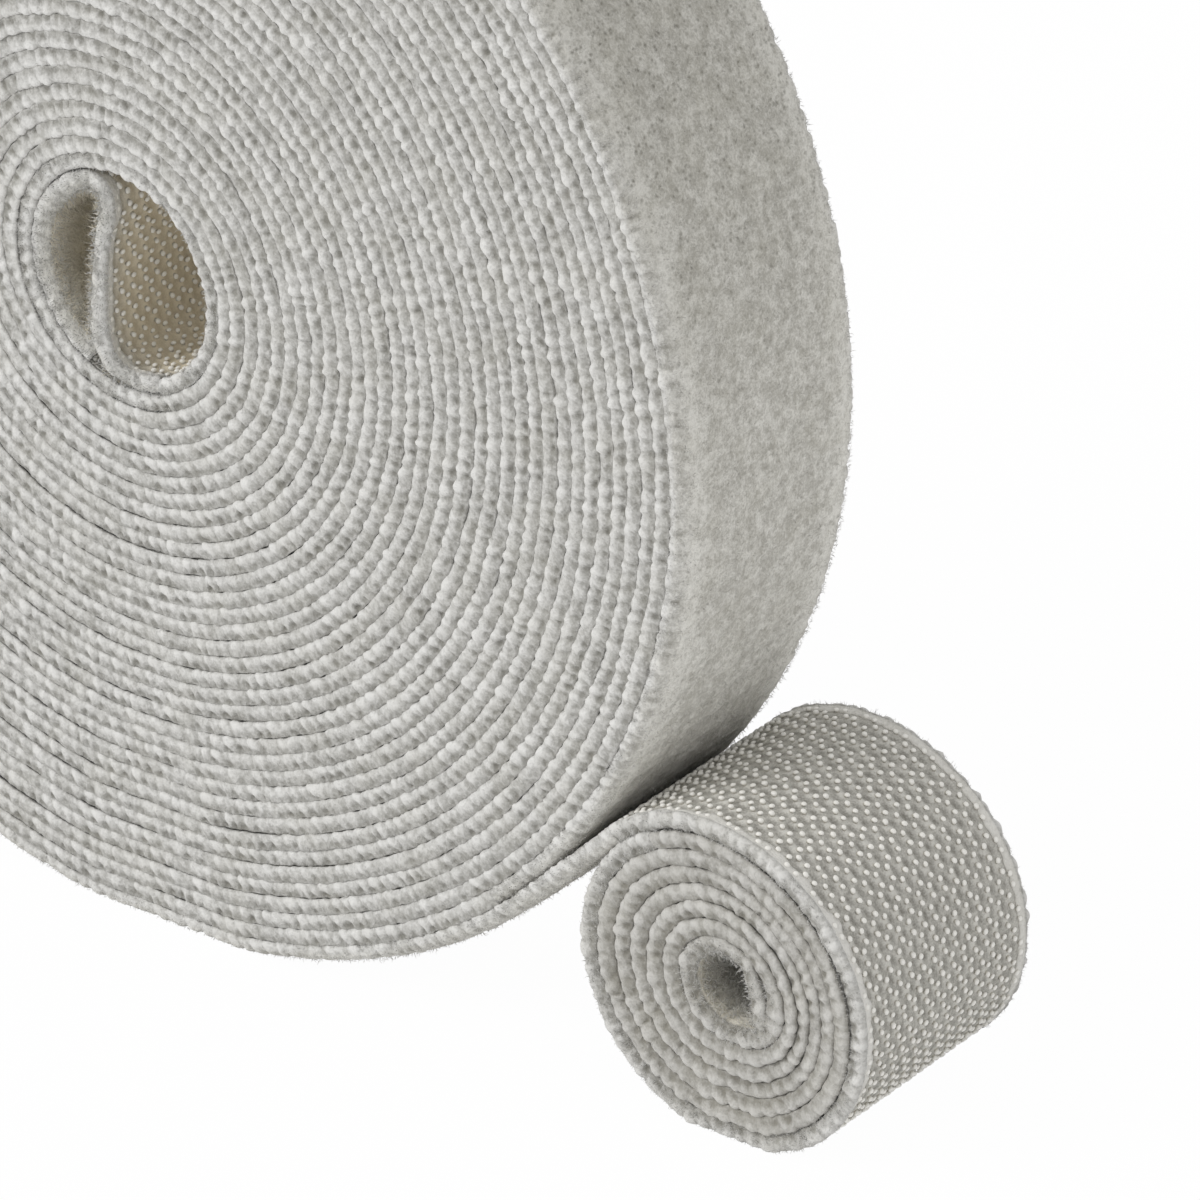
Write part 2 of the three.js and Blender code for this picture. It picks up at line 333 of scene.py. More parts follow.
def make_object(name, places, faces, material, values):
    """A piece that rides on the roll. faces is a list of arrays, each of faces with as many corners,
    and values holds numbers for the shader at each vertex."""
    mesh = bpy.data.meshes.new(name)
    mesh.vertices.add(len(places))
    on_floor = np.maximum(places, (-math.inf, -math.inf, 0))
    mesh.vertices.foreach_set("co", on_floor.astype(np.float32).ravel())
    corners = np.concatenate([group.ravel() for group in faces])
    counts = np.concatenate([np.full(len(group), group.shape[1]) for group in faces])
    mesh.loops.add(len(corners))
    mesh.loops.foreach_set("vertex_index", corners.astype(np.int32))
    mesh.polygons.add(len(counts))
    mesh.polygons.foreach_set("loop_start", np.r_[0, np.cumsum(counts)[:-1]].astype(np.int32))
    mesh.polygons.foreach_set("use_smooth", np.full(len(counts), True))
    for key, numbers in values.items():
        layer = mesh.attributes.new(key, "FLOAT", "POINT")
        layer.data.foreach_set("value", numbers.astype(np.float32).ravel())
    mesh.update(calc_edges=True)
    mesh.materials.append(material)
    piece = bpy.data.objects.new(name, mesh)
    bpy.context.scene.collection.objects.link(piece)
    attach(piece, BODY)
    return piece


def ring_faces(rings, around):
    """Faces of a closed tube of rings, with a cap at each end."""
    start = np.arange(rings - 1)[:, None] * around
    here = np.arange(around)[None, :]
    beside = (here + 1) % around
    sides = np.stack([start + here, start + around + here, start + around + beside, start + beside], -1)
    first_cap = np.arange(around)[None, :]
    last_cap = (rings - 1) * around + np.arange(around)[None, ::-1]
    return [sides.reshape(-1, 4), first_cap, last_cap]


# The cord is the knitted edge of the fleece, which wraps round the edge of the hook ribbon. Its
# knots lie nearer to the hook side, and the pits between them nearer to the fleece side. A band is a
# middle and a width, in shares from the fleece side to the hook side
CORD_DEPTH = 0.2 * MM
STITCH_PITCH = 1.25 * MM
STITCH_HEIGHT = 0.12 * MM
PIT_DEPTH = 0.17 * MM
KNOT_BAND = (0.75, 0.24)
PIT_BAND = (0.3, 0.22)
PIT_PART = 0.27

# How much the stitches differ in length, in height and in the depth of their pits, the pits' usual
# share of their depth, how far stitches lean, and how many more are made than fit on average
LENGTH_SPREAD = 0.2
HEIGHT_SPREAD = 0.5
PIT_SPREAD = 0.6
PIT_MEAN = 0.9
LEANS = (0.1, 0.9)
SPARE_STITCHES = 1.1

# Layers of noise on the cord, each an amount and the size of its cells, and what each kind adds to
# the seed: crumbs of fluff, the wander of its sides, the wander of its depth, and a ragged selvedge
CRUMBS = ((0.06 * MM, 0.58 * MM), (0.06 * MM, 0.34 * MM))
SIDE_WAVES = ((0.015 * MM, 5 * MM),)
WAVES = ((0.1 * MM, 41 * MM), (0.06 * MM, 6 * MM), (0.05 * MM, 2.1 * MM))
RAGGED_SHARES = ((0.12, 0.5 * MM), (0.12, 1.7 * MM))
SIDE_WAVES_SEED, WAVES_SEED, RAGGED_SEED = 5, 6, 9


class Stitches:
    """Knots along the cord, unevenly spaced and sized, each leaning a little."""

    def __init__(self, seed):
        random = np.random.default_rng(seed)
        count = int(TAPE_END / STITCH_PITCH * SPARE_STITCHES)
        uneven = random.standard_normal((3, count)).clip(-2, 2)
        self.starts = np.cumsum(STITCH_PITCH * (1 + LENGTH_SPREAD * uneven[0]))
        self.heights = STITCH_HEIGHT * (1 + HEIGHT_SPREAD * uneven[1])
        self.depths = PIT_DEPTH * (PIT_MEAN + PIT_SPREAD * uneven[2]).clip(0, 2)
        self.leans = random.uniform(*LEANS, count)

    def rise(self, along, share):
        """Height of the knots and depth of the pits; share is 0 to 1 from the fleece side to the
        hook side."""
        k = np.clip(np.searchsorted(self.starts, along) - 1, 0, len(self.starts) - 2)
        part = (along - self.starts[k]) / (self.starts[k + 1] - self.starts[k])
        part = (part + self.leans[k] * (share - 0.5)) % 1
        knots = self.heights[k] * np.sin(math.pi * part) * hump(share, *KNOT_BAND)
        between = hump(np.minimum(part, 1 - part), 0, PIT_PART)
        return knots, self.depths[k] * between * hump(share, *PIT_BAND)


# Thicker places in the fleece: beside the tape's straight end in the small coil, and at the foot of
# the curl in the bore. Each is its middle along the tape, its width and how much it adds
SWELLS = ((SMALL_END - 20.5 * MM, 3.5 * MM, 0.5 * MM), (CURL_END - 7 * MM, 2.6 * MM, 0.6 * MM))

# How far knots, fluff and pits push the sides of the cord over the next turn, in shares of their
# height, which breaks up the lines between turns
KNOT_LEAN = 1.1
FLUFF_LEAN = 0.9
PIT_LEAN = 0.5

# The relief that the shader colours by, which paints light and shade on the cord: what knots count
# for as painted highlight, pits as painted shade and fluff as both, a paler band of painted highlight
# along the knots and a darker one of painted shade over the pits, the painted shade in the valley
# between turns, and the painted shade in the notch that holds the hook ribbon
RELIEF_SCALE = 0.2 * MM
KNOT_HIGHLIGHT = 2.1
PIT_SHADE = 1.2
FLUFF_SHADING = 1.2
HIGHLIGHT_TONE, HIGHLIGHT_BAND = 0.12, (0.76, 0.14)
SHADE_TONE, SHADE_BAND = 0.4, (0.28, 0.26)
VALLEY_SHADE = 2
NOTCH_DEPTH = 0.5 * MM
NOTCH_SHADE = -1

# The pile on a round corner reaches this share of the way round, and fades by this power
CORNER_PILE_SHARE = 0.6
CORNER_PILE_FADE = 0.6

# The selvedge that some cords lay over the hooks, in columns at parts of its width
SELVEDGE_PARTS = (0.45, 0.65, 0.82, 1.0)
SELVEDGE_CORD_DEPTH = 2.2 * CORD_DEPTH
SELVEDGE_UNDER = 0.41 * MM
SELVEDGE_THICK = 0.05 * MM
SELVEDGE_PUFF = 0.6
SELVEDGE_RELIEF = 1.5
SELVEDGE_END_RELIEF = 1
SELVEDGE_PILE = 0.4


def layered(layers, u, v, seed):
    """Layers of smooth noise, each an amount and the size of its cells."""
    return sum(amount * wander(u / size, v / size, seed + k) for k, (amount, size) in enumerate(layers))


class Cord:
    """The shape of the cord: how far its sides lie to the tape's left at the large coil's pitch, the
    furthest that its fluff may reach, the points round it, the width of the selvedge that it lays
    over the hooks, the depth of its round corner to an open face of fleece, where it has one, the
    depth of the valley to the next turn, and how coarse its stitches are beside the usual ones."""

    def __init__(self, right, left, reach, points, selvedge=0.0, corner=0.0, depth=CORD_DEPTH, coarse=1.0):
        self.right, self.left, self.reach = right, left, reach
        self.points, self.selvedge, self.corner = points, selvedge, corner
        self.depth, self.coarse = depth, coarse

    def sides(self, along):
        """How far the fleece side and the hook side lie to the left at lengths along the tape."""
        right_room, left_room = tape.room(along)
        swell = sum(amount * hump(along, middle, width) for middle, width, amount in SWELLS)
        return self.right * right_room - swell, self.left * left_room

    def inset(self, turn):
        """How far inwards the cord's surface lies; turn is 0 at its fleece side and half a turn at
        its hook side."""
        fleece_side = self.corner or self.depth
        hook_side = SELVEDGE_CORD_DEPTH if self.selvedge else self.depth
        return np.where(turn < FULL_TURN / 4, fleece_side, hook_side) * (1 - np.sin(turn))

    def edge_points(self):
        """How many points edge makes across."""
        return self.points + (len(SELVEDGE_PARTS) + 1 if self.selvedge else 0) + 2

    def selvedge_columns(self, s, hook_side, fluff, seed, width):
        """The selvedge, which sinks from the cord down to its ragged end on the hook ribbon."""
        flat = 0 * s
        pile = flat + SELVEDGE_PILE
        ragged = 1 + layered(RAGGED_SHARES, s, flat, seed + RAGGED_SEED)
        columns = []
        for part in SELVEDGE_PARTS:
            sink = (hook_side - SELVEDGE_UNDER - SELVEDGE_THICK) * part**2
            puff = SELVEDGE_PUFF * fluff * (1 - part)
            columns.append((hook_side + puff - sink, width * part * ragged, flat + SELVEDGE_RELIEF, pile))
        columns.append((flat + SELVEDGE_UNDER, width * ragged, flat + SELVEDGE_END_RELIEF, pile))
        return columns

    def edge(self, along, stitches, seed, selvedge_share):
        """One edge of the fleece ribbon, from its fleece side round the cord to its flat side: how
        far the points lie to the left and inwards from the tape's edge, their relief and their
        share of pile."""
        share = np.linspace(0, 1, self.points)[None, :]
        s = along[:, None]
        right, hook_side = self.sides(s)
        turn = share * FULL_TURN / 2
        bulge = np.sin(turn)
        fluff = layered(CRUMBS, s, share * (hook_side - right), seed)
        knots, pits = (self.coarse * part for part in stitches.rise(s, share))
        wave = layered(SIDE_WAVES, s, 0 * s, seed + SIDE_WAVES_SEED)
        lean = KNOT_LEAN * knots + FLUFF_LEAN * fluff - PIT_LEAN * pits
        left = (right + hook_side) / 2 + wave - np.cos(turn) * ((hook_side - right) / 2 + lean)
        left = np.clip(left, right - self.reach, hook_side + self.reach)
        lie = layered(WAVES, s, 0 * s, seed + WAVES_SEED)
        inwards = self.inset(turn) - (knots - pits + fluff) * bulge + lie

        on_fleece_side = share < 0.5
        valley = 1 - bulge
        pile = 0 * left
        if self.corner:
            pile = pile + np.clip(1 - share / CORNER_PILE_SHARE, 0, 1) ** CORNER_PILE_FADE
            valley = valley * (1 - on_fleece_side)
        if self.selvedge:
            valley = valley * on_fleece_side
        # Painted highlight in a band along the knots, and painted shade in a band over the pits, except
        # under the corner's pile
        shade = HIGHLIGHT_TONE * hump(share, *HIGHLIGHT_BAND) - SHADE_TONE * hump(share, *SHADE_BAND) * (1 - pile)
        # Painted light and shade: paler on knots and risen fluff, darker in pits and sunk fluff, a painted
        # highlight on the corner's pile, and painted shade in the valley between turns
        tone = (KNOT_HIGHLIGHT * knots - PIT_SHADE * pits + FLUFF_SHADING * fluff) / RELIEF_SCALE
        relief = tone * bulge + shade + pile - VALLEY_SHADE * self.depth / MM * valley

        columns = [(left, inwards, relief, pile)]
        if self.selvedge:
            width = self.selvedge * selvedge_share
            columns += self.selvedge_columns(s, hook_side, fluff[:, -1:], seed, width)
        flat = 0 * s
        # The notch that holds the hook ribbon, darker as painted shade
        for side in (SELVEDGE_UNDER, FLEECE_SIDES[1]):
            columns.append((flat + side, flat + NOTCH_DEPTH, flat + NOTCH_SHADE, flat))
        return [np.concatenate([part + flat for part in parts], 1) for parts in zip(*columns)]


HIDDEN_CORD = Cord(-0.8 * MM, 0.57 * MM, 0.16 * MM, 11)
BORE_TURN_CORD = Cord(-0.8 * MM, 0.52 * MM, 0.1 * MM, 11, 0.7 * MM)
RIM_CORD = Cord(-0.84 * MM, 0.57 * MM, 0.14 * MM, 16, 0, 1.1 * MM)
BORE_CORD = Cord(-0.84 * MM, 0.82 * MM, 0.06 * MM, 16, 1.5 * MM, 1.1 * MM, coarse=0.5)
SMALL_RIM_CORD = Cord(-0.78 * MM, 0.62 * MM, 0.06 * MM, 14, 1.45 * MM, depth=0.38 * MM, coarse=1.1)
SMALL_CORD = Cord(-0.78 * MM, 0.56 * MM, 0.16 * MM, 12, depth=0.38 * MM, coarse=1.1)


def closed_ring(name, along, columns, material, values):
    """A closed piece along the tape. Each column has places to the left and across the width."""
    left = np.concatenate([column[0] for column in columns], 1)
    across = np.concatenate([column[1] for column in columns], 1)
    places = tape.at(along[:, None] + 0 * left, left, across)
    return make_object(name, places.reshape(-1, 3), ring_faces(*left.shape), material, values)


def even_parts(start, end, step, around):
    """Lengths along the tape, in as many parts as keep each piece under its triangle limit."""
    count = math.ceil((end - start) / step * around * 2 / PIECE_TRIANGLES)
    bounds = np.linspace(start, end, count + 1)
    return [np.linspace(a, b, int((b - a) / step) + 1) for a, b in zip(bounds, bounds[1:])]


# The open face of the fleece: how far its pile swells and how it rounds off at the edges, its lumps,
# how much paler its edges are as painted highlight, and how wide those are in shares of the tape
FACE_STEP = 0.35 * MM
PILE_SWELL = 0.1 * MM
FACE_ROUNDING = 6
PILE_LUMPS = ((0.05 * MM, 1.1 * MM), (0.05 * MM, 0.5 * MM))
EDGE_HIGHLIGHT = 1.2
EDGE_SHARE = 0.09

# The selvedge is narrower at the back. Each edge and the face have noise of their own
BACK_SELVEDGE_SHARE = 0.75
FRONT_SEED, BACK_SEED, FACE_SEED = 21, 71, 7


def edge_share(share):
    """1 at both edges of the tape and 0 well inside them; share is 0 to 1 across its width."""
    return hump(np.minimum(share, 1 - share), 0, EDGE_SHARE)


def fleece_pieces(name, start, end, cord, slot, node, open_face, shade_warmth=(0.0, 0.0)):
    """The fleece ribbon between two lengths of the tape, in one or more pieces, with the warm cast of
    its edges and of its middle, which is painted warm shade and bounce light. An open face has a
    surface of pile, and a hidden one is flat."""
    half = TAPE_WIDTH / 2
    columns = int(TAPE_WIDTH / FACE_STEP) if open_face else 0
    around = 2 * cord.edge_points() + columns
    for number, along in enumerate(even_parts(start, end, CORD_STEP, around)):
        front = cord.edge(along, front_stitches, FRONT_SEED, 1)
        back = cord.edge(along, back_stitches, BACK_SEED, BACK_SELVEDGE_SHARE)
        parts = [
            (front[0], front[1] - half, *front[2:], shade_warmth[0] + 0 * front[0]),
            tuple(part[:, ::-1] for part in (back[0], half - back[1], *back[2:], shade_warmth[0] + 0 * back[0])),
        ]
        if open_face:
            share = np.linspace(1, 0, columns + 2)[None, 1:-1]
            across = parts[0][1][:, :1] * (1 - share) + parts[1][1][:, -1:] * share
            lumps = layered(PILE_LUMPS, along[:, None], across, FACE_SEED)
            swell = np.minimum(1, FACE_ROUNDING * np.minimum(share, 1 - share)) ** 0.5
            rim = front[0][:, :1] * (1 - share) + back[0][:, :1] * share
            left = rim - (PILE_SWELL + lumps) * swell
            pale = edge_share(share)
            warm = shade_warmth[1] + (shade_warmth[0] - shade_warmth[1]) * pale + 0 * left
            # Painted light and shade on the lumps, and a painted highlight along both edges
            relief = lumps / RELIEF_SCALE * swell + EDGE_HIGHLIGHT * pale
            parts.append((left, across, relief, 1 + 0 * left, warm))
        keys = ("relief", "pile", "shade_warmth")
        values = {key: np.concatenate([part[2 + k] for part in parts], 1) for k, key in enumerate(keys)}
        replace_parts(closed_ring(f"{name}_{number + 1}", along, parts, fleece, values), node)


# The hook ribbon ends a little inside the notch of the fleece
HOOK_TAPE_EDGE = NOTCH_DEPTH + 0.05 * MM
HOOK_COLUMNS = int((TAPE_WIDTH - 2 * HOOK_MARGIN) / HOOK_COLUMN_PITCH)
FIRST_HOOK = -(HOOK_COLUMNS - 0.5) * HOOK_COLUMN_PITCH / 2

# Its woven ground, which is flat close to the edges, and the grain of its threads
WEAVE_HEIGHT = 0.07 * MM
WEAVE_STEP = 0.22 * MM
WEAVE_MARGIN = 0.6 * MM
WEAVE_GRAIN = ((0.4, 0.36 * MM),)
WEAVE_SEED = 9


def hook_tape_pieces(name, start, end, slot, node, open_face, shade_warmth=0.0):
    """The hook ribbon between two lengths. An open face shows the woven ground that the hooks stand
    in, raised round each pair with furrows between; a hidden one is flat."""
    half = TAPE_WIDTH / 2 - HOOK_TAPE_EDGE
    columns = int(TAPE_WIDTH / WEAVE_STEP) if open_face else 0
    step = WEAVE_STEP if open_face else HIDDEN_STEP
    for number, along in enumerate(even_parts(start, end, step, 4 + columns)):
        s = along[:, None]
        flat = 0 * s
        share = np.linspace(0, 1, columns + 2)[None, :]
        across = flat - half + 2 * half * share
        row = s / HOOK_ROW_PITCH
        column = (across - FIRST_HOOK) / HOOK_COLUMN_PITCH
        knots = np.cos(math.pi * row) * np.cos(FULL_TURN * column)
        inside = np.clip((half - abs(across)) / WEAVE_MARGIN - 1, 0, 1) * open_face
        weave = (knots + layered(WEAVE_GRAIN, s, across, WEAVE_SEED)) * inside
        parts = [
            (flat + HOOK_SIDES[0], flat - half),
            (HOOK_SIDES[1] + WEAVE_HEIGHT * (weave - inside), across),
            (flat + HOOK_SIDES[0], flat + half),
        ]
        # The weave's relief, which the shader paints as shade in the furrows and highlight on the knots
        relief = np.concatenate([flat, weave, flat], 1)
        # Painted warm bounce light in the middle of the tape, away from its edges
        warm = shade_warmth * (1 - edge_share(share)) + flat
        values = {"relief": relief, "shade_warmth": np.concatenate([warm[:, :1], warm, warm[:, -1:]], 1)}
        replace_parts(closed_ring(f"{name}_{number + 1}", along, parts, hook_tape, values), node)


# Materials

class Value:
    """A shader socket, on which sums and products add Math nodes."""

    def __init__(self, nodes, socket):
        self.nodes, self.socket = nodes, socket

    def maths(self, operation, other, swap=False):
        pair = (other, self) if swap else (self, other)
        return self.nodes.add("ShaderNodeMath", {"operation": operation}, dict(enumerate(pair)))

    def __add__(self, other):
        return self.maths("ADD", other)

    def __sub__(self, other):
        return self.maths("SUBTRACT", other)

    def __mul__(self, other):
        return self.maths("MULTIPLY", other)

    def __rsub__(self, other):
        return self.maths("SUBTRACT", other, swap=True)

    def between(self, low, high):
        """0 below low, 1 above high, and even in between."""
        sockets = {"Value": self, "From Min": low, "From Max": high}
        return self.nodes.add("ShaderNodeMapRange", {"interpolation_type": "SMOOTHSTEP"}, sockets)


class Finish:
    """A material with its nodes."""

    def __init__(self, name, **constants):
        self.material = bpy.data.materials.new(name)
        self.material.use_nodes = True
        self.tree = self.material.node_tree
        self.shader = self.tree.nodes["Principled BSDF"]
        for socket, value in constants.items():
            self.shader.inputs[socket.replace("_", " ")].default_value = value

    def add(self, kind, settings, sockets, output=0):
        """A node of any kind: its settings come first, then the values or links of its sockets."""
        node = self.tree.nodes.new(kind)
        for key, value in settings.items():
            setattr(node, key, value)
        for key, value in sockets.items():
            if isinstance(value, Value):
                self.tree.links.new(value.socket, node.inputs[key])
            else:
                node.inputs[key].default_value = value
        return Value(self, node.outputs[output])

    def attribute(self, name):
        return self.add("ShaderNodeAttribute", {"attribute_name": name}, {}, "Fac")

    def height_in_frame(self):
        place = self.add("ShaderNodeTexCoord", {}, {}, "Object")
        return self.add("ShaderNodeSeparateXYZ", {}, {"Vector": place}, "Z")

    def noise(self, size, detail=2, rough=0.5):
        """Noise from 0 to 1 whose grains are about size across."""
        place = self.add("ShaderNodeTexCoord", {}, {}, "Object")
        sockets = {"Vector": place, "Scale": 1 / size, "Detail": detail, "Roughness": rough}
        return self.add("ShaderNodeTexNoise", {}, sockets)

    def dots(self, size):
        """1 at points about size apart, fading to 0 within half of that."""
        place = self.add("ShaderNodeTexCoord", {}, {}, "Object")
        near = self.add("ShaderNodeTexVoronoi", {}, {"Vector": place, "Scale": 1 / size}, "Distance")
        return 1 - near.between(0, 0.5)

    def mix(self, factor, first, second):
        return self.add("ShaderNodeMix", {"data_type": "RGBA"}, {0: factor, 6: first, 7: second}, 2)

    def colour(self, value):
        self.tree.links.new(value.socket, self.shader.inputs["Base Color"])

    def bump(self, height, distance, strength=1):
        made = self.add("ShaderNodeBump", {}, {"Height": height, "Distance": distance, "Strength": strength})
        self.tree.links.new(made.socket, self.shader.inputs["Normal"])


def rgb(red, green, blue):
    """A colour written as a screen shows it, as linear light."""
    def linear(value):
        value /= 255
        return value / 12.92 if value < 0.04045 else ((value + 0.055) / 1.055) ** 2.4

    return (linear(red), linear(green), linear(blue), 1)


# The colours that the finishes mix. The warm ones are painted light: warm shade on the knit, and
# warm bounce light on the pile and the woven ground
KNIT_DARK, KNIT_PALE, KNIT_WARM_SHADE = rgb(132, 130, 123), rgb(227, 226, 223), rgb(134, 128, 114)
NAP_DARK, NAP_PALE, NAP_BOUNCE_LIGHT = rgb(175, 172, 163), rgb(238, 236, 229), rgb(252, 241, 214)
NAP_SHADED, NAP_PARTED = rgb(130, 127, 116), rgb(88, 85, 72)
FLEECE_TINT = rgb(172, 167, 146)
WEAVE_DARK, WEAVE_PALE, WEAVE_BOUNCE_LIGHT = rgb(127, 124, 116), rgb(215, 213, 206), rgb(236, 222, 192)
NYLON_STEM, NYLON_CROWN_HIGHLIGHT = rgb(184, 180, 169), rgb(245, 243, 237)

# The heights above the floor between which the pile grows darker and parts more
UPPER_HEIGHTS = (35 * MM, 100 * MM)


def fleece_finish():
    """Knitted yarn and pile: pale warm grey in woolly crumbs, with painted shade in the pits and painted
    highlight on the knots. The pile has blotches and fine specks where it parts, above all towards
    the top of the roll."""
    finish = Finish("fleece", Roughness=0.95, Sheen_Weight=0.2, Sheen_Roughness=0.6)
    relief = finish.attribute("relief")
    pile = finish.attribute("pile")
    shade_warmth = finish.attribute("shade_warmth")
    crumbs = finish.noise(0.42 * MM, detail=1).between(0.3, 0.7)
    fibres = finish.noise(0.18 * MM, detail=2, rough=0.6).between(0.3, 0.7)
    specks = finish.dots(0.5 * MM)
    patches = finish.noise(0.9 * MM, detail=1).between(0.32, 0.56)
    blotches = finish.noise(1.0 * MM, detail=3, rough=0.6).between(0.32, 0.68)
    drift = finish.noise(3.1 * MM, detail=1)
    grain = crumbs * 0.6 + fibres * 0.4
    # The relief in this paints light and shade on the knit. The grain is the yarn's own mottling
    height = relief * 0.5 + grain * 0.66 + 0.27
    clean = finish.mix(height.between(-0.45, 1.45), KNIT_DARK, KNIT_PALE)
    # Painted warm shade, which browns and darkens the knit on the small coil's edges
    knit = finish.mix(shade_warmth * 0.6, clean, KNIT_WARM_SHADE)
    # The relief in this paints highlight on the pile's lumps and along its edges
    nap_share = fibres * 0.4 + crumbs * 0.2 + blotches * 0.4 + relief * 0.28 - 0.1
    nap = finish.mix(nap_share.between(-0.1, 1.1), NAP_DARK, NAP_PALE)
    upper = finish.height_in_frame().between(*UPPER_HEIGHTS)
    parted = specks * patches * (1 - blotches * 0.4) * (upper * 0.75 + 0.1)
    shaded = finish.mix(upper * 0.32, nap, NAP_SHADED)
    speckled = finish.mix(parted, shaded, NAP_PARTED)
    # Painted warm bounce light, which lightens the pile to cream deep in the bore
    warm = finish.mix(shade_warmth * 0.75, speckled, NAP_BOUNCE_LIGHT)
    body = finish.mix(pile, knit, warm)
    finish.colour(finish.mix(drift.between(0.35, 0.75) * 0.1, body, FLEECE_TINT))
    finish.bump(grain + blotches * pile * 0.8, 0.07 * MM)
    return finish.material


def hook_tape_finish():
    """The woven ground of the hook ribbon: grey taupe, with painted shade in its furrows and
    painted highlight on the knots round each pair.
    """
    finish = Finish("hook_tape", Roughness=0.7)
    relief = finish.attribute("relief")
    shade_warmth = finish.attribute("shade_warmth")
    fibres = finish.noise(0.16 * MM, detail=2)
    # Painted shade in the furrows and painted highlight on the knots, over the threads' grain
    body = finish.mix((relief * 0.42 + fibres).between(-0.25, 1.0), WEAVE_DARK, WEAVE_PALE)
    # Painted warm bounce light on the woven ground deep in the bore
    finish.colour(finish.mix(shade_warmth * 0.6, body, WEAVE_BOUNCE_LIGHT))
    finish.bump(fibres, 0.06 * MM, 0.6)
    return finish.material


def hook_finish():
    """Satin nylon: cream, with a painted highlight that makes the crown paler than the stem."""
    finish = Finish("hook_nylon", Roughness=0.35)
    crown = finish.attribute("relief")
    # Painted highlight towards the crown
    finish.colour(finish.mix(crown.between(0.2, 0.9), NYLON_STEM, NYLON_CROWN_HIGHLIGHT))
    return finish.material


fleece = fleece_finish()
hook_tape = hook_tape_finish()
nylon = hook_finish()

# The two ribbons

front_stitches = Stitches(11)
back_stitches = Stitches(12)

# The slot and the CAD node of each stretch
BORE_FLEECE = ("loop_fleece", "inner_end_loop_ribbon")
BORE_HOOKS = ("hook_backing", "inner_end_hook_ribbon")
CORE = ("tape_edge", "inner_turns")
OUTER_FLEECE = ("loop_fleece", "loop_ribbon")
OUTER_HOOKS = ("hook_backing", "hook_ribbon")

# The bore's middle gets painted warm bounce light, and the small coil's edges painted warm shade
fleece_pieces("inner_end_fleece", 0, CURL_END, BORE_CORD, *BORE_FLEECE, True, (0, 1))
fleece_pieces("bore_fleece", CURL_END, BORE_TURN_END, BORE_TURN_CORD, *BORE_FLEECE, False)
hook_tape_pieces("inner_end_hook_tape", 0, BORE_TURN_END, *BORE_HOOKS, True, 1)
fleece_pieces("core_turns_fleece", BORE_TURN_END, CORE_END, HIDDEN_CORD, *CORE, False)
hook_tape_pieces("core_turns_hook_tape", BORE_TURN_END, CORE_END, *CORE, False)
fleece_pieces("outer_turns_fleece", CORE_END, OUTER_TURN_START, HIDDEN_CORD, *OUTER_FLEECE, False)
hook_tape_pieces("large_coil_hook_tape", CORE_END, LIFT, *OUTER_HOOKS, False)
fleece_pieces("rim_fleece", OUTER_TURN_START, TOUCH, RIM_CORD, *OUTER_FLEECE, True)
fleece_pieces("small_rim_fleece", TOUCH, SMALL_TURN_END, SMALL_RIM_CORD, *OUTER_FLEECE, False, (0.15, 0))
fleece_pieces("small_coil_fleece", SMALL_TURN_END, TAPE_END, SMALL_CORD, *OUTER_FLEECE, True, (0.5, 0))
hook_tape_pieces("small_rim_hook_tape", LIFT, SMALL_TURN_END, *OUTER_HOOKS, True)
hook_tape_pieces("small_coil_hook_tape", SMALL_TURN_END, TAPE_END, *OUTER_HOOKS, False)

# Hooks

# A hook from its root to its crown: how far it lies along the tape from the middle of its pair, its
# height, its radius, and its relief, which the shader paints as a highlight towards the crown
HOOK_RINGS = (
    (0.26 * MM, -0.10 * MM, 0.15 * MM, 0.0),
    (0.35 * MM, 0.05 * MM, 0.17 * MM, 0.3),
    (0.40 * MM, 0.13 * MM, 0.205 * MM, 0.7),
    (0.42 * MM, 0.20 * MM, 0.225 * MM, 1.0),
    (0.43 * MM, 0.27 * MM, 0.18 * MM, 1.0),
    (0.43 * MM, 0.31 * MM, 0.07 * MM, 1.0),
)
HOOK_AROUND = 7

# How much the hooks differ in size, and how far each stands off its place
HOOK_SIZES = (0.92, 1.08)
HOOK_SHIFT = 0.035 * MM


def hook_shape():
    """One hook with a round crown: its vertices as reach, side and height, and its faces."""
    turn = np.arange(HOOK_AROUND) / HOOK_AROUND * FULL_TURN
    rings = [
        np.stack([reach + radius * np.cos(turn), radius * np.sin(turn), height + 0 * turn], 1)
        for reach, height, radius, _ in HOOK_RINGS
    ]
    return np.concatenate(rings), ring_faces(len(HOOK_RINGS), HOOK_AROUND)


def make_hooks(name, start, end, node, seed):
    """Pairs of hooks that lean away from each other along the tape, in staggered rows."""
    random = np.random.default_rng(seed)
    rows = np.arange(math.ceil(start / HOOK_ROW_PITCH), math.floor(end / HOOK_ROW_PITCH))
    row, column = (grid.ravel() for grid in np.meshgrid(rows, np.arange(HOOK_COLUMNS), indexing="ij"))
    across = (FIRST_HOOK + (column + (row % 2) / 2) * HOOK_COLUMN_PITCH)[:, None]
    along = (row * HOOK_ROW_PITCH)[:, None]
    shape, faces = hook_shape()
    count = len(row)
    places, groups = [], []
    for number, way in enumerate((1, -1)):
        size = random.uniform(*HOOK_SIZES, (count, 1))
        shift = random.normal(0, HOOK_SHIFT, (2, count, 1))
        reach, side, height = (shape[:, k] * size for k in range(3))
        at = tape.at(along + shift[0] + way * reach, HOOK_SIDES[1] + height, across + shift[1] + side)
        places.append(at.reshape(-1, 3))
        starts = (np.arange(count)[:, None, None] + number * count) * len(shape)
        for group in faces:
            turned = group[:, ::-1] if way > 0 else group
            groups.append((starts + turned[None]).reshape(-1, group.shape[1]))
    crown = np.repeat([relief for *_, relief in HOOK_RINGS], HOOK_AROUND)
    values = {"relief": np.tile(crown, 2 * count)}
    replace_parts(make_object(name, np.concatenate(places), groups, nylon, values), node)


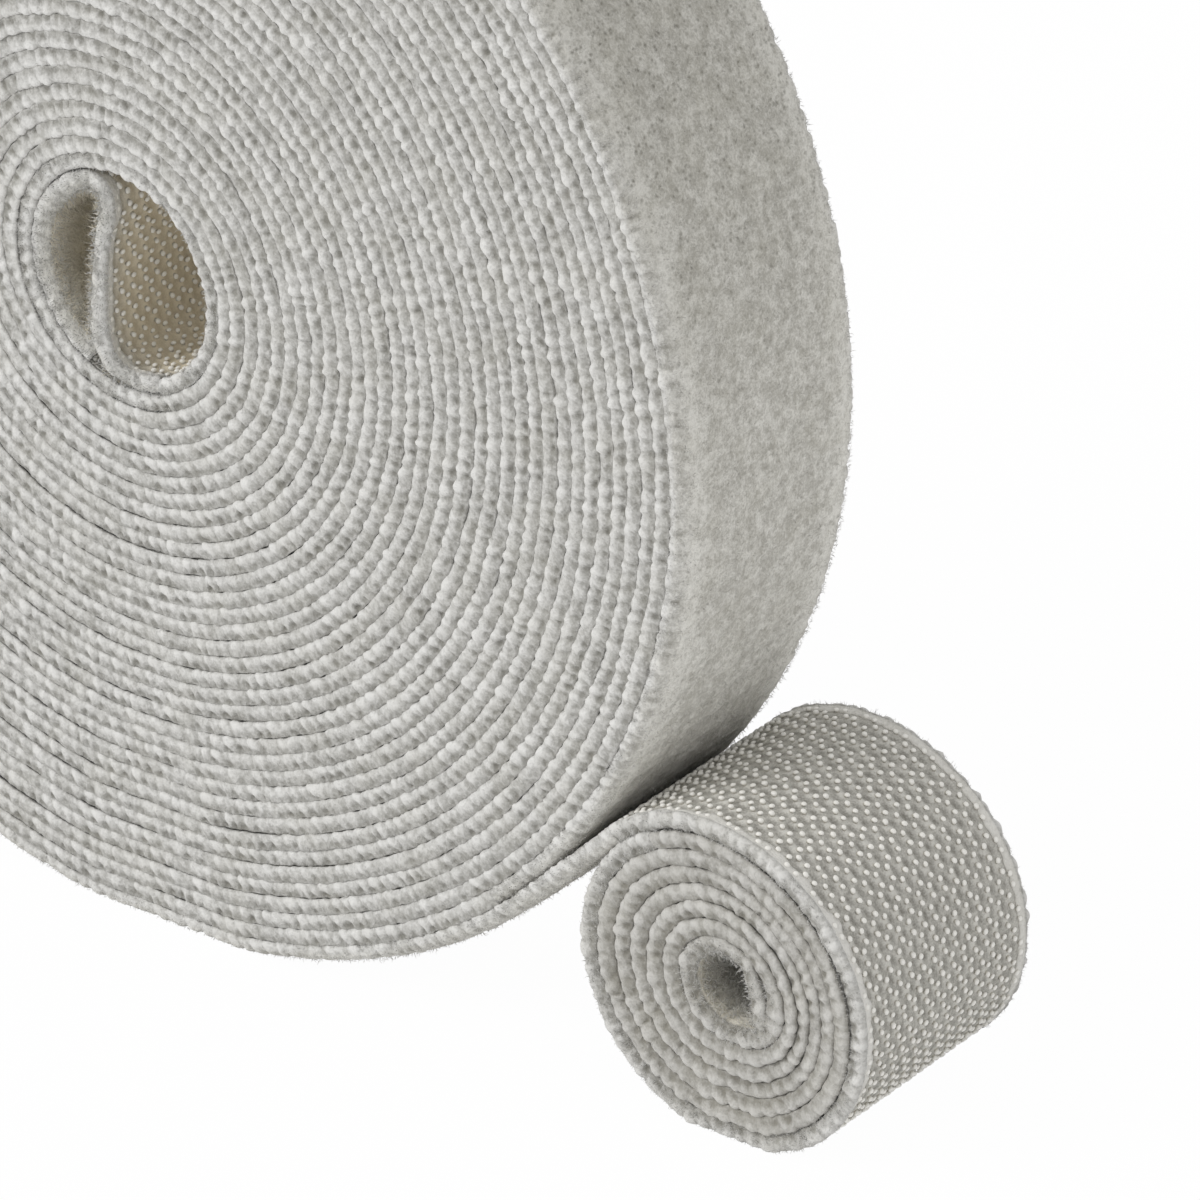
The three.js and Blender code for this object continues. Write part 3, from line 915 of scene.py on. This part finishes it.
make_hooks("small_coil_hooks", LIFT - 1 * MM, SMALL_TURN_END + 2 * MM, "hook_ribbon", 41)
make_hooks("bore_hooks", 1 * MM, BORE_TURN_END, "inner_end_hook_ribbon", 42)


# Pile: loose fibres that stand out of the fleece

# How much the fibres differ in direction, how much they curl and how their lengths differ
PILE_RADIUS = 0.018 * MM
PILE_SPREAD = 0.55
PILE_CURL = 0.6
PILE_LENGTHS = (0.5, 1.2)

# A fibre's root, joint and tip, in shares of its length ahead and along its curl, and the relief of
# its seven points, which paints the root in shade and the tip in highlight
PILE_BENDS = ((-0.2, 0), (0.55, 0.15), (0.85, 0.5))
PILE_RELIEF = (0.6, 0.6, 0.6, 1, 1, 1, 1.3)

# Where fibres stand: how far off the tape's edges and how deep in the swell on a face, and over which
# shares of the way round a cord. The shader takes those on a face mostly for pile
PILE_MARGIN = 0.5 * MM
PILE_ROOT_SHARE = 0.6
FACE_PILE = 0.8
FRINGE_SHARES = (0.02, 0.98)
RIM_PILE_END = LIFT + 9 * MM
HOLE_START = SMALL_END - 24 * MM


def make_pile(name, roots, outwards, length, node, seed, face, shade_warmth):
    """Short curled fibres, each a thin closed spike with three sides and one joint."""
    random = np.random.default_rng(seed)
    count = len(roots)
    way = outwards + random.normal(0, PILE_SPREAD, (count, 3))
    way /= np.linalg.norm(way, axis=1)[:, None]
    curl = random.normal(0, PILE_CURL, (count, 3))
    reach = length * random.uniform(*PILE_LENGTHS, (count, 1))
    side = np.cross(way, curl)
    side /= np.linalg.norm(side, axis=1)[:, None]
    other = np.cross(way, side)
    turn = np.arange(3) / 3 * FULL_TURN
    ring = side[:, None] * np.cos(turn)[None, :, None] + other[:, None] * np.sin(turn)[None, :, None]
    low, middle, tip = (roots + (ahead * way + aside * curl) * reach for ahead, aside in PILE_BENDS)
    stem = ring * PILE_RADIUS
    places = np.concatenate([low[:, None] + stem, middle[:, None] + stem, tip[:, None]], 1)
    points = len(PILE_RELIEF)
    first = np.arange(count)[:, None, None] * points
    sides = np.array([[0, 1, 4, 3], [1, 2, 5, 4], [2, 0, 3, 5]])[None]
    ends = np.array([[3, 4, 6], [4, 5, 6], [5, 3, 6], [2, 1, 0]])[None]
    faces = [(first + sides).reshape(-1, 4), (first + ends).reshape(-1, 3)]
    values = {
        "relief": np.tile(PILE_RELIEF, count),
        "pile": np.full(points * count, face),
        "shade_warmth": np.full(points * count, shade_warmth),
    }
    piece = make_object(name, places.reshape(-1, 3), faces, fleece, values)
    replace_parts(piece, node)


def pile_on_face(name, start, end, per_square_mm, length, node, seed, shade_warmth=0.0):
    """Fibres over the fleece's face."""
    random = np.random.default_rng(seed)
    count = int((end - start) * TAPE_WIDTH * per_square_mm / MM**2)
    along = random.uniform(start, end, count)
    across = random.uniform(-0.5, 0.5, count) * (TAPE_WIDTH - 2 * PILE_MARGIN)
    left = RIM_CORD.sides(along)[0] - PILE_ROOT_SHARE * PILE_SWELL
    roots = tape.at(along, left, across)
    make_pile(name, roots, -tape.left_of(along), length, node, seed, FACE_PILE, shade_warmth)


def pile_on_edges(name, start, end, cord, per_mm, length, node, seed):
    """Fibres round both edges of a cord."""
    random = np.random.default_rng(seed)
    count = int((end - start) * per_mm / MM)
    along = random.uniform(start, end, count)
    turn = random.uniform(*FRINGE_SHARES, count) * FULL_TURN / 2
    way = random.choice([-1, 1], count)
    right, left = cord.sides(along)
    lie = (left + right) / 2 - (left - right) / 2 * np.cos(turn)
    roots = tape.at(along, lie, way * (TAPE_WIDTH / 2 - cord.inset(turn)))
    outwards = -tape.left_of(along) * np.cos(turn)[:, None]
    outwards[:, 1] = way * np.sin(turn)
    make_pile(name, roots, outwards, length, node, seed, 0, 0)


pile_on_face("rim_pile", OUTER_TURN_START, RIM_PILE_END, 2, 0.35 * MM, "loop_ribbon", 51)
pile_on_face("bore_pile", 0, CURL_END, 23, 0.9 * MM, "inner_end_loop_ribbon", 53, 1)
pile_on_face("small_hole_pile", HOLE_START, TAPE_END, 20, 0.8 * MM, "loop_ribbon", 55)
pile_on_edges("rim_fringe", OUTER_TURN_START, RIM_PILE_END, RIM_CORD, 55, 0.25 * MM, "loop_ribbon", 57)
pile_on_edges("small_rim_fringe", TOUCH, SMALL_TURN_END, SMALL_RIM_CORD, 55, 0.28 * MM, "loop_ribbon", 58)
pile_on_edges("small_hole_fringe", HOLE_START, TAPE_END, SMALL_CORD, 60, 0.45 * MM, "loop_ribbon", 59)
pile_on_edges("bore_fringe", 0, CURL_END, BORE_CORD, 120, 0.6 * MM, "inner_end_loop_ribbon", 60)
pile_on_edges(
    "bore_turn_fringe", CURL_END, BORE_TURN_END, BORE_TURN_CORD, 60, 0.35 * MM, "inner_end_loop_ribbon", 61
)


# Floor, light and camera

def make_floor():
    """A pale floor that the camera sees nearly as white as the backdrop."""
    bpy.ops.mesh.primitive_plane_add(size=FLOOR_SIZE, location=(0, 0, 0))
    floor = bpy.context.object
    floor.name = "floor"
    finish = Finish("floor", Roughness=1.0, Base_Color=(FLOOR_GREY, FLOOR_GREY, FLOOR_GREY, 1))
    seen, mirrored, through = (
        finish.add("ShaderNodeLightPath", {}, {}, f"Is {kind} Ray")
        for kind in ("Camera", "Glossy", "Transmission")
    )
    white = finish.add("ShaderNodeEmission", {}, {"Color": WHITE, "Strength": BACKDROP_STRENGTH})
    blend = finish.tree.nodes.new("ShaderNodeMixShader")
    share = (seen + mirrored + through) * FLOOR_GLOW
    finish.tree.links.new(share.socket, blend.inputs[0])
    finish.tree.links.new(finish.shader.outputs[0], blend.inputs[1])
    finish.tree.links.new(white.socket, blend.inputs[2])
    finish.tree.links.new(blend.outputs[0], finish.tree.nodes["Material Output"].inputs[0])
    floor.data.materials.append(finish.material)


def make_light():
    """Even light from all round, a white backdrop for the camera, and one broad sun."""
    world = bpy.data.worlds.new("studio")
    bpy.context.scene.world = world
    world.use_nodes = True
    tree = world.node_tree
    tree.nodes.clear()
    light_path = tree.nodes.new("ShaderNodeLightPath")
    blend = tree.nodes.new("ShaderNodeMixShader")
    output = tree.nodes.new("ShaderNodeOutputWorld")
    tree.links.new(light_path.outputs["Is Camera Ray"], blend.inputs[0])
    for socket, strength in ((1, SOFT_STRENGTH), (2, BACKDROP_STRENGTH)):
        background = tree.nodes.new("ShaderNodeBackground")
        background.inputs["Color"].default_value = WHITE
        background.inputs["Strength"].default_value = strength
        tree.links.new(background.outputs[0], blend.inputs[socket])
    tree.links.new(blend.outputs[0], output.inputs[0])
    sun = bpy.data.lights.new("key", "SUN")
    sun.energy = SUN_STRENGTH
    sun.angle = SUN_WIDTH
    lamp = bpy.data.objects.new("key", sun)
    bpy.context.scene.collection.objects.link(lamp)
    lamp.rotation_mode = "QUATERNION"
    lamp.rotation_quaternion = TO_SUN.to_track_quat("Z", "Y")


def make_camera():
    """The camera of the photographed view."""
    data = bpy.data.cameras.new("camera")
    data.sensor_width = CAMERA_SENSOR_MM
    data.lens = CAMERA_LENS_MM
    data.clip_end = CAMERA_CLIP_END
    camera = bpy.data.objects.new("camera", data)
    bpy.context.scene.collection.objects.link(camera)
    back = -CAMERA_AHEAD.normalized()
    right = (CAMERA_RIGHT - CAMERA_RIGHT.dot(back) * back).normalized()
    up = back.cross(right)
    place = CAMERA_TARGET + back * CAMERA_DISTANCE
    camera.matrix_world = Matrix.Translation(place) @ Matrix((right, up, back)).transposed().to_4x4()
    bpy.context.scene.camera = camera


make_floor()
make_light()
make_camera()
bpy.context.scene.view_settings.view_transform = "Standard"
